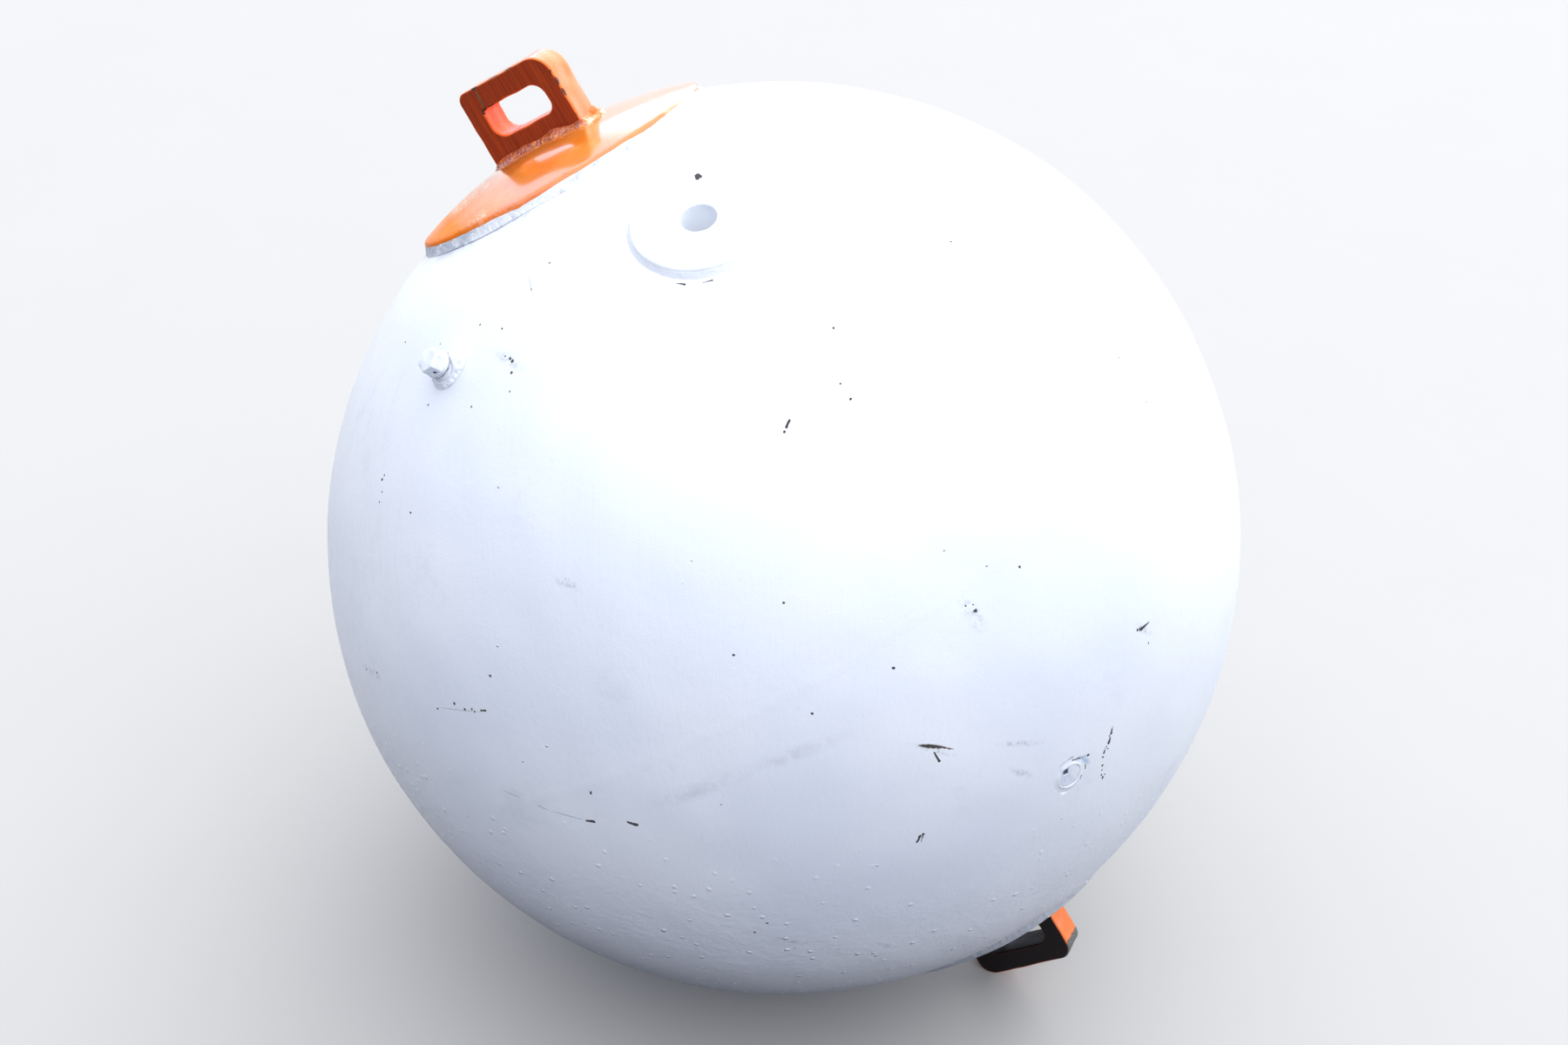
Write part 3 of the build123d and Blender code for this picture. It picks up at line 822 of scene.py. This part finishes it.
# Longer damage by kind: two ends in the picture's pixels, and half width in millimetres.
damage = {
    "gouge": [(1054.5, 855.6, 1086, 858.2, 3.4), (1078, 857.6, 1095, 860.4, 1.5)],
    "scratch": [(575, 907, 600, 918, 0.8), (598, 917.5, 632, 931.5, 1.0), (630, 930.5, 674, 942.8, 0.9),
                (500, 812, 558, 818, 0.6), (606, 312, 612, 343, 0.8)],
    "smear": [(735, 927, 870, 882, 16.0), (840, 890, 985, 838, 14.0), (566, 402, 600, 424, 12.0)],
    "scuff": [(640, 665, 662, 676, 9.0), (1141, 855, 1203, 853, 6.0), (1162, 884, 1184, 892, 7.0),
              (880, 1076, 930, 1084, 8.0), (990, 1082, 1034, 1088, 7.0), (1106, 690, 1126, 720, 14.0),
              (1040, 852, 1100, 868, 5.0), (566, 402, 600, 424, 9.0), (416, 764, 440, 780, 8.0),
              (1300, 716, 1322, 728, 7.0)],
    "stain": [(1233, 873.5, 1252, 866.5, 4.4), (1243, 871.5, 1250, 876, 6.0), (1217, 884, 1228, 893, 5.0)],
}
softDamage = ("scuff", "smear", "stain")
chipSize = 0.00115  # metres drawn for a millimetre of a chip's radius


# Mask of the chips: the nearest rim of all their balls, 1 inside.
def chipMask(where):
    nearest = None
    for across, down, radius in chips:
        away = minus(farFrom(where, markSpot(across, down)), radius * chipSize)
        nearest = away if nearest is None else calc("MINIMUM", nearest, away)
    return step(nearest, 0.0002, -0.0003)


# Mask of longer damage of one kind: a mark on the shell between each pair of ends.
def damageMask(where, kind):
    masks = []
    for x0, y0, x1, y1, half in damage[kind]:
        ends = markSpot(x0, y0), markSpot(x1, y1)
        outward = unitWay((ends[0] + ends[1]) / 2 - centre)
        masks.append(lyingMask(where, centre + outward * shellRadius, ends, outward, half / 1000, 0.02,
                               0.1 if kind in softDamage else 0.6))
    return greatest(masks)


# Of these colours, the underside one is painted shade and the white of the drops a painted highlight.
white = {"dim": (0.785, 0.815, 0.872), "bright": (0.865, 0.88, 0.91), "streak": (0.72, 0.745, 0.80),
         "grime": (0.42, 0.44, 0.50), "haze": (0.60, 0.62, 0.67), "brushed": (0.50, 0.52, 0.58),
         "underside": (0.24, 0.25, 0.30), "beadHighlight": (1.0, 1.0, 1.0), "steel": (0.045, 0.042, 0.042),
         "scuff": (0.36, 0.37, 0.42), "smear": (0.46, 0.47, 0.52), "stain": (0.36, 0.47, 0.64),
         "scratch": (0.34, 0.34, 0.37), "gouge": ((0.10, 0.06, 0.04), (0.46, 0.40, 0.37)),
         "streakBox": (0.22, 0.005, 0.005), "brushBox": (0.060, 0.08, 0.0040)}


# White enamel: brush streaks, roller stipple, drops painted whiter as a painted highlight, chips to the steel, scuffs,
# grime under the upper cap, and the underside painted darker as painted shade.
def whitePaint(name, damaged):
    made, skin = startMaterial(name)
    place = objectPlace()
    shaken = shakenPlace(place, 330, 0.0024)
    patch = noise(place, 3.2, 3)
    streak, brushed = [noise(inBox(place, (0, 0, 0), (camUpward, camRight, camNearer), white[box]), 1.0, detail, rough)
                       for box, detail, rough in (("streakBox", 2, 0.5), ("brushBox", 3, 0.6))]
    stipple, coarse = noise(place, 420, 1), noise(place, 90, 2)
    tone = blend(step(patch, 0.3, 0.7), white["dim"], white["bright"])
    tone = blend(step(streak, 0.62, 0.8, 0.35), tone, white["streak"])
    polar = farAlong(vector("NORMALIZE", vector("SUBTRACT", place, tuple(centre))), axisUp)
    nearCap = step(polar, math.cos(cap["angle"] + 0.045), math.cos(cap["angle"] + 0.008))
    grime = times(nearCap, step(noise(place, 26, 4, 0.7), 0.42, 0.62))
    tone = blend(times(grime, 0.6), tone, white["grime"])
    tone = blend(step(noise(place, 7, 5, 0.72), 0.58, 0.76, 0.3), tone, white["haze"])
    middle = centre @ camRight
    aside = step(farAlong(place, camRight), middle - 0.36, middle - 0.56)
    tone = blend(times(aside, step(brushed, 0.50, 0.80, 0.26)), tone, white["brushed"])
    level = shade("SeparateXYZ", {0: place}, "Z")
    below = step(level, 0.62, 0.30)
    # Painted shade: the paint is darkened towards the bottom of the ball, standing in for the shadow under it.
    tone = blend(step(level, 0.38, 0.15, 0.75), tone, white["underside"])
    # Drops on the lower shell: real paint drops, painted whiter than the paint around them as a painted highlight for
    # the light they catch.
    beads = times(dots(shaken, 46, 0.19, 0.8, 0.4), below)
    tone = blend(beads, tone, white["beadHighlight"])
    bare = specks = dots(place, 13, 0.017, 0.34)
    tone = blend(specks, tone, white["steel"])
    if damaged:
        scuff = times(damageMask(shaken, "scuff"), step(noise(place, 130, 5, 0.7), 0.42, 0.62))
        smear = times(damageMask(shaken, "smear"), step(noise(place, 48, 5, 0.7), 0.36, 0.66))
        stain, scratch = damageMask(place, "stain"), damageMask(shaken, "scratch")
        for kind, mask, share in (("scuff", scuff, 0.6), ("smear", smear, 0.34), ("stain", stain, 0.75),
                                  ("scratch", scratch, 0.7)):
            tone = blend(times(mask, share), tone, white[kind])
        gouge, chip = damageMask(shaken, "gouge"), chipMask(shaken)
        tone = blend(gouge, tone, blend(step(noise(place, 480, 3), 0.38, 0.60), *white["gouge"]))
        tone = blend(chip, tone, white["steel"])
        bare = greatest([specks, gouge, chip])
    drops = dots(place, 24, 0.05, 0.2, 0.2)
    lumpy = times(noise(place, 62, 5, 0.7), below)
    feed(skin, {
        "Base Color": tone,
        "Roughness": plus(plus(step(coarse, 0.2, 0.8, 0.22), 0.3), times(bare, 0.35)),
        "Specular IOR Level": ramp(level, 0.05, 0.32, 0.1, 0.5),
        "Normal": bumps((stipple, 0.00035, 0.5), (lumpy, 0.0032, 0.6), (streak, 0.0005, 0.45), (coarse, 0.0007, 0.35),
                        (calc("MAXIMUM", drops, beads), 0.0022, 0.9)),
    })
    return made


# Slit and nicks in the front of the upper plate: ends along its width and out from the middle, and half widths.
kerf = {
    "slit": [(-0.0415, 0.712, -0.0436, 0.681, 0.0014)],
    "nicks": [(-0.047, 0.7105, -0.038, 0.7115, 0.0021), (-0.049, 0.6805, -0.042, 0.6815, 0.0022),
              (-0.0495, 0.676, -0.049, 0.681, 0.0013), (-0.040, 0.6815, -0.026, 0.6815, 0.0009),
              (-0.018, 0.7117, 0.004, 0.7117, 0.0009), (0.010, 0.7117, 0.026, 0.7115, 0.0010),
              (0.0743, 0.648, 0.0743, 0.660, 0.0011), (0.0743, 0.664, 0.0743, 0.676, 0.0012),
              (0.072, 0.680, 0.0735, 0.686, 0.0010)],
}
# Of these colours, those of the broad faces, their strokes and blotches, of the eye and of the lower plate's darkening
# are painted shade, and the pale wrinkle colour is a painted highlight.
orange = {"paint": (0.88, 0.22, 0.018), "patch": (0.92, 0.29, 0.034), "chalk": (0.93, 0.42, 0.15),
          "wrinkleSheen": (0.96, 0.60, 0.40), "plate": (0.84, 0.145, 0.008), "broad": (0.23, 0.026, 0.005),
          "stroke": (0.36, 0.049, 0.008), "blotch": (0.20, 0.03, 0.014), "edge": (0.86, 0.17, 0.012),
          "eye": (0.84, 0.10, 0.007), "paintedShade": ((0.36, 0.062, 0.016), (0.009, 0.006, 0.006)),
          "metal": ((0.035, 0.03, 0.028), (0.20, 0.19, 0.18)), "slit": ((0.05, 0.04, 0.018), (0.28, 0.22, 0.10)),
          "nicks": ((0.012, 0.010, 0.010), (0.07, 0.055, 0.045)), "speck": (0.09, 0.05, 0.03),
          "strokeBox": (0.07, 0.0016, 0.03), "rimWear": 0.10, "coatRough": 0.09, "coatBend": 1.7}


# Mask of one cut in the upper plate's front.
def cutMask(where, x0, y0, x1, y1, half):
    front = centre - plateAcross * padeye["thick"] / 2
    ends = [front + plateAlong * x + axisUp * y for x, y in ((x0, y0), (x1, y1))]
    return lyingMask(where, (ends[0] + ends[1]) / 2, ends, -plateAcross, half, 0.006, 0.6)


# Orange enamel: wrinkled gloss on the cap with its wrinkles painted pale as a painted highlight, brushed broad faces
# and eyes painted dark as painted shade, the lower plate painted near black as painted shade, worn and chipped edges, a
# slit in the plate.
def orangePaint():
    made, skin = startMaterial("orangePaint")
    place = objectPlace()
    shaken = shakenPlace(place, 420, 0.0022)
    rim, broad, shadeWeight, broadOrEye, scrape = [markOf(label) for label in ("rim", "broad", "shadeWeight", "broadOrEye", "scrape")]
    patch = noise(place, 14, 5, 0.6)
    strokes = noise(inBox(place, (0, 0, 0), (axisUp, plateAlong, plateAcross), orange["strokeBox"]), 1.0, 3)
    tone = blend(step(patch, 0.35, 0.68), orange["paint"], orange["patch"])
    tone = blend(step(noise(place, 32, 5, 0.65), 0.56, 0.74, 0.5), tone, orange["chalk"])

    # The cap, whose gloss and wrinkles change along a slant over its dish.
    onCap = step(farFrom(place, centre), capReach + 0.006, capReach + 0.002)
    slant = unitWay(plateAlong + 0.88 * plateAcross)
    along, middle = farAlong(place, slant), centre @ slant
    wrinkled = times(onCap, step(along, middle - 0.07, middle - 0.10))
    wrinkled = times(wrinkled, step(along, middle - 0.18, middle - 0.145))
    fade = step(noise(place, 9, 2), 0.22, 0.55)
    wrinkleSheen = times(noise(place, 105, 3, 0.6, warp=1.2), times(fade, wrinkled))
    # Painted highlight: the wrinkles on a band of the cap are painted pale, standing in for the sheen on them.
    tone = blend(step(wrinkleSheen, 0.46, 0.58, 0.7), tone, orange["wrinkleSheen"])

    # The plates: their broad faces and eyes painted darker as painted shade, their edges, and the lower one painted
    # near black as painted shade.
    tone = blend(step(onCap, 1.0, 0.0, 0.7), tone, orange["plate"])
    # Painted shade: the broad faces of both plates are painted dark red-brown with brush strokes and blotches, standing
    # in for the shade on them.
    shadedFace = blend(step(strokes, 0.35, 0.7), orange["broad"], orange["stroke"])
    shadedFace = blend(step(noise(place, 60, 5, 0.7), 0.60, 0.75, 0.7), shadedFace, orange["blotch"])
    tone = blend(broad, tone, shadedFace)
    tone = blend(step(times(rim, minus(1.0, broad)), 0.6, 1.0, 0.6), tone, orange["edge"])
    # Painted shade: the eye's inner walls are painted a deeper, darker red.
    hollow = minus(broadOrEye, broad)
    tone = blend(step(hollow, 0.3, 0.9, 0.85), tone, orange["eye"])
    # Painted shade: the lower plate is painted near black on its broad faces and eye and in dark patches elsewhere, and
    # the foot welds' fronts in dark patches.
    paintedShade = step(noise(place, 130, 4, 0.65), 0.25, 0.6)
    paintedShade = calc("MAXIMUM", times(shadeWeight, paintedShade), times(shadeWeight, broadOrEye))
    tone = blend(paintedShade, tone, blend(broadOrEye, *orange["paintedShade"]))

    # Bare steel on worn rims, in the slit and nicks, and in specks.
    worn = step(plus(times(rim, orange["rimWear"]), noise(shaken, 75, 5, 0.68)), 0.74, 0.79)
    scraped = step(plus(scrape, times(noise(place, 190, 5, 0.7), 1.2)), 0.98, 1.10)
    worn = calc("MAXIMUM", worn, scraped)
    tone = blend(worn, tone, blend(noise(place, 300, 3), *orange["metal"]))
    grain, cuts = noise(place, 400, 2), []
    for kind, runs in kerf.items():
        cuts.append(greatest([cutMask(shaken, *cut) for cut in runs]))
        tone = blend(cuts[-1], tone, blend(grain, *orange[kind]))
    specks = dots(shaken, 26, 0.04, 0.12)
    tone = blend(times(specks, 0.85), tone, orange["speck"])
    bare = greatest([worn, greatest(cuts), specks])

    # Gloss: the plates' broad faces are dull, and the cap's shine fades along the slant.
    dull = calc("MAXIMUM", broad, times(shadeWeight, broadOrEye))
    rough = plus(plus(step(patch, 0.3, 0.75, 0.12), times(bare, 0.4)), times(dull, 0.25))
    matt = ramp(calc("MAXIMUM", dull, hollow), 0.0, 1.0, 0.42, 0.18)
    plateTop = centre @ axisUp + padeye["reach"]
    onTop = step(farAlong(place, axisUp), plateTop - 0.003, plateTop - 0.001, 0.6)
    gloss = greatest([times(ramp(along, middle - 0.162, middle - 0.085), onCap), onTop])
    creased = bumps((wrinkleSheen, 0.0030, 0.9))
    feed(skin, {
        "Base Color": tone,
        "Roughness": plus(rough, 0.13),
        "Specular IOR Level": times(matt, ramp(along, middle - 0.16, middle - 0.10, 0.03)),
        "Coat Weight": times(gloss, minus(1.0, dull)),
        "Coat Roughness": orange["coatRough"],
        "Coat IOR": orange["coatBend"],
        "Coat Normal": creased,
        "Normal": bumps((noise(place, 520, 2), 0.0003, 0.5), (times(strokes, broad), 0.0007, 0.6),
                        (times(bare, -1.0), 0.0011, 0.9), normal=creased),
    })
    return made


weldTints = {"paint": (0.82, 0.83, 0.86), "bare": (0.54, 0.58, 0.65), "pit": (0.14, 0.14, 0.15)}


# Thinly painted weld: grey and off-white mottle with dark pits, rough, and barer towards one side.
def weatheredWeld():
    made, skin = startMaterial("weatheredWeld")
    place = objectPlace()
    mottle, pits = noise(place, 70, 6, 0.7), noise(place, 260, 4, 0.65)
    middle = centre @ plateAlong
    side = step(farAlong(place, plateAlong), middle + 0.09, middle - 0.15)
    bare = step(plus(mottle, times(side, 0.16)), 0.50, 0.66)
    pitted = times(step(pits, 0.58, 0.66), plus(times(side, 0.8), 0.1))
    feed(skin, {
        "Base Color": blend(pitted, blend(bare, weldTints["paint"], weldTints["bare"]), weldTints["pit"]),
        "Roughness": step(pits, 0.3, 0.7, 0.85),
        "Normal": bumps((pits, 0.0012, 0.8), (mottle, 0.0018, 0.6)),
    })
    return made


# Of these colours, the socket and wire hole ones are painted shade.
plugTints = {"blue": (0.66, 0.71, 0.80), "white": (0.84, 0.86, 0.89), "chip": (0.17, 0.15, 0.14),
             "socket": (0.045, 0.075, 0.13), "wireHole": (0.012, 0.016, 0.024)}


# Thick paint on the plugs: blue-grey to white, with bare chips, and painted shade darkening the drain plug's square
# socket and the wire's hole.
def plugPaint():
    made, skin = startMaterial("plugPaint")
    place = objectPlace()
    patch, flaked = noise(place, 55, 5, 0.6), noise(place, 190, 5, 0.7)
    tone = blend(step(patch, 0.35, 0.62), plugTints["blue"], plugTints["white"])
    tone = blend(step(flaked, 0.66, 0.72), tone, plugTints["chip"])
    # Painted shade: the drain plug's square socket is painted dark below its mouth.
    outward = drainAxes[0]
    face = centre @ outward + shellReach(outward) + drain["rise"] - drain["sink"]
    nearDrain = calc("LESS_THAN", farFrom(place, centre + outward * shellRadius), 0.02)
    sunk = times(step(farAlong(place, outward), face - 0.0004, face - 0.0016), nearDrain)
    tone = blend(sunk, tone, plugTints["socket"])
    outward, halfFlats = testAxes[0], test["flats"] / 2
    foot = centre @ outward + shellRadius + test["rise"] + test["seal"] + test["collarHeight"]
    high = farAlong(place, outward)
    aside = vector("LENGTH", vector("CROSS_PRODUCT", vector("SUBTRACT", place, tuple(centre)), tuple(outward)))
    inHead = times(calc("GREATER_THAN", high, foot + 0.0006), calc("LESS_THAN", high, foot + 0.012))
    # Painted shade: the walls of the wire's hole are painted near black.
    wireHoleShade = times(inHead, step(aside, halfFlats - 0.0001, halfFlats - 0.0007))
    feed(skin, {
        "Base Color": blend(wireHoleShade, tone, plugTints["wireHole"]),
        "Roughness": step(patch, 0.0, 1.0, 0.75),
        "Normal": bumps((patch, 0.0012, 0.6), (noise(place, 600, 2), 0.0002, 0.5)),
    })
    return made


rubber = {"dark": (0.20, 0.21, 0.23), "dust": (0.56, 0.58, 0.62)}


# Dull dark rubber with a fine grain and dust.
def sealRubber():
    made, skin = startMaterial("sealRubber")
    place = objectPlace()
    dust = noise(place, 160, 5, 0.65)
    feed(skin, {
        "Base Color": blend(step(dust, 0.35, 0.65), rubber["dark"], rubber["dust"]),
        "Roughness": step(dust, 0.0, 1.0, 0.95),
        "Normal": bumps((noise(place, 900, 2), 0.0002, 0.6)),
    })
    return made


finishes = {"white_paint": whitePaint("whitePaint", False), "orange_paint": orangePaint(),
            "weathered_weld": weatheredWeld(), "painted_plug": plugPaint(), "seal": sealRubber()}
damagedPaint = whitePaint("damagedPaint", True)
damagedPieces = ("upperShell", "lowerShell", "portSocket", "portWeld", "drainBoss")


# Faces near the placed damage take the damaged paint: those whose middles lie within its reach and a margin.
def markDamage(piece, margin=0.008):
    middles = np.empty(len(piece.data.polygons) * 3)
    piece.data.polygons.foreach_get("center", middles)
    middles = middles.reshape(-1, 3)
    spots = [(markSpot(across, down), radius / 1000) for across, down, radius in chips]
    for x0, y0, x1, y1, half in sum(damage.values(), []):
        first, last = markSpot(x0, y0), markSpot(x1, y1)
        count = 2 + int(np.linalg.norm(last - first) / 0.006)
        spots += [(first + (last - first) * part, half / 1000) for part in np.linspace(0, 1, count)]
    near = np.zeros(len(middles), bool)
    for spot, reach in spots:
        near |= ((middles - spot) ** 2).sum(1) < (reach + margin) ** 2
    piece.data.polygons.foreach_set("material_index", near.astype(np.int32))


for piece, slotName in dressed:
    piece.data.materials.clear()
    piece.data.materials.append(finishes[slotName])
    if piece.name in damagedPieces:
        piece.data.materials.append(damagedPaint)
        markDamage(piece)
print("materials made")

# Stage. Ways are shares to the right, to the back and up; the spread is in degrees.
studio = {"floor": (0.445, 0.432, 0.416), "floorHalf": 120.0, "floorRough": 0.85, "mottle": (0.985, 1.01),
          "shade": (0.65, 0.77, 1.16), "glow": (0.945, 0.975, 1.0), "zenith": 2.05, "dark": -0.02, "growth": 0.20,
          "towards": (0.17, 0.08, 1.0), "backGlow": 3.4, "backWay": (0.40, 1.0, 0.15), "backSpread": (48.0, 20.0),
          "backFoot": (-0.30, -0.19)}


# Floor: one pale sheet with a faint mottle.
def makeFloor():
    half = studio["floorHalf"]
    mesh = bpy.data.meshes.new("floor")
    mesh.from_pydata([(-half, -half, 0), (half, -half, 0), (half, half, 0), (-half, half, 0)], [], [(0, 1, 2, 3)])
    floor = bpy.data.objects.new("floor", mesh)
    bpy.context.collection.objects.link(floor)
    made, skin = startMaterial("floor")
    tints = [tuple(np.array(studio["floor"]) * share) for share in studio["mottle"]]
    feed(skin, {"Base Color": blend(noise(objectPlace(), 4, 4), *tints), "Roughness": studio["floorRough"]})
    mesh.materials.append(made)
    floor.visible_diffuse = False  # keeps the buoy's underside dark, as on dull ground


# Sky: light that grows from under the floor to a little right of overhead, bluish where it is dim, and a broad
# bright patch low behind the buoy, whose foot is cut off below.
def makeSky():
    world = bpy.data.worlds.new("studio")
    bpy.context.scene.world = world
    world.use_nodes = True
    easel["tree"] = world.node_tree
    right, back = [unitWay(way * np.array([1, 1, 0])) for way in (camRight, -camNearer)]
    way = shade("TexCoord", output="Generated")
    facing, behind = [farAlong(way, unitWay(side * right + far * back + np.array([0, 0, high])))
                      for side, far, high in (studio["towards"], studio["backWay"])]
    grown = times(calc("POWER", ramp(facing, studio["dark"], 1.0), studio["growth"]), studio["zenith"])
    patch = step(behind, *np.cos(np.radians(studio["backSpread"])), studio["backGlow"])
    patch = times(patch, step(shade("SeparateXYZ", {0: way}, "Z"), *studio["backFoot"]))
    feed(world.node_tree.nodes["Background"], {
        "Color": blend(step(facing, -0.2, 0.7), studio["shade"], studio["glow"]), "Strength": plus(grown, patch)})


makeFloor()
makeSky()
bpy.context.scene.view_settings.view_transform = "Standard"
print("stage made")
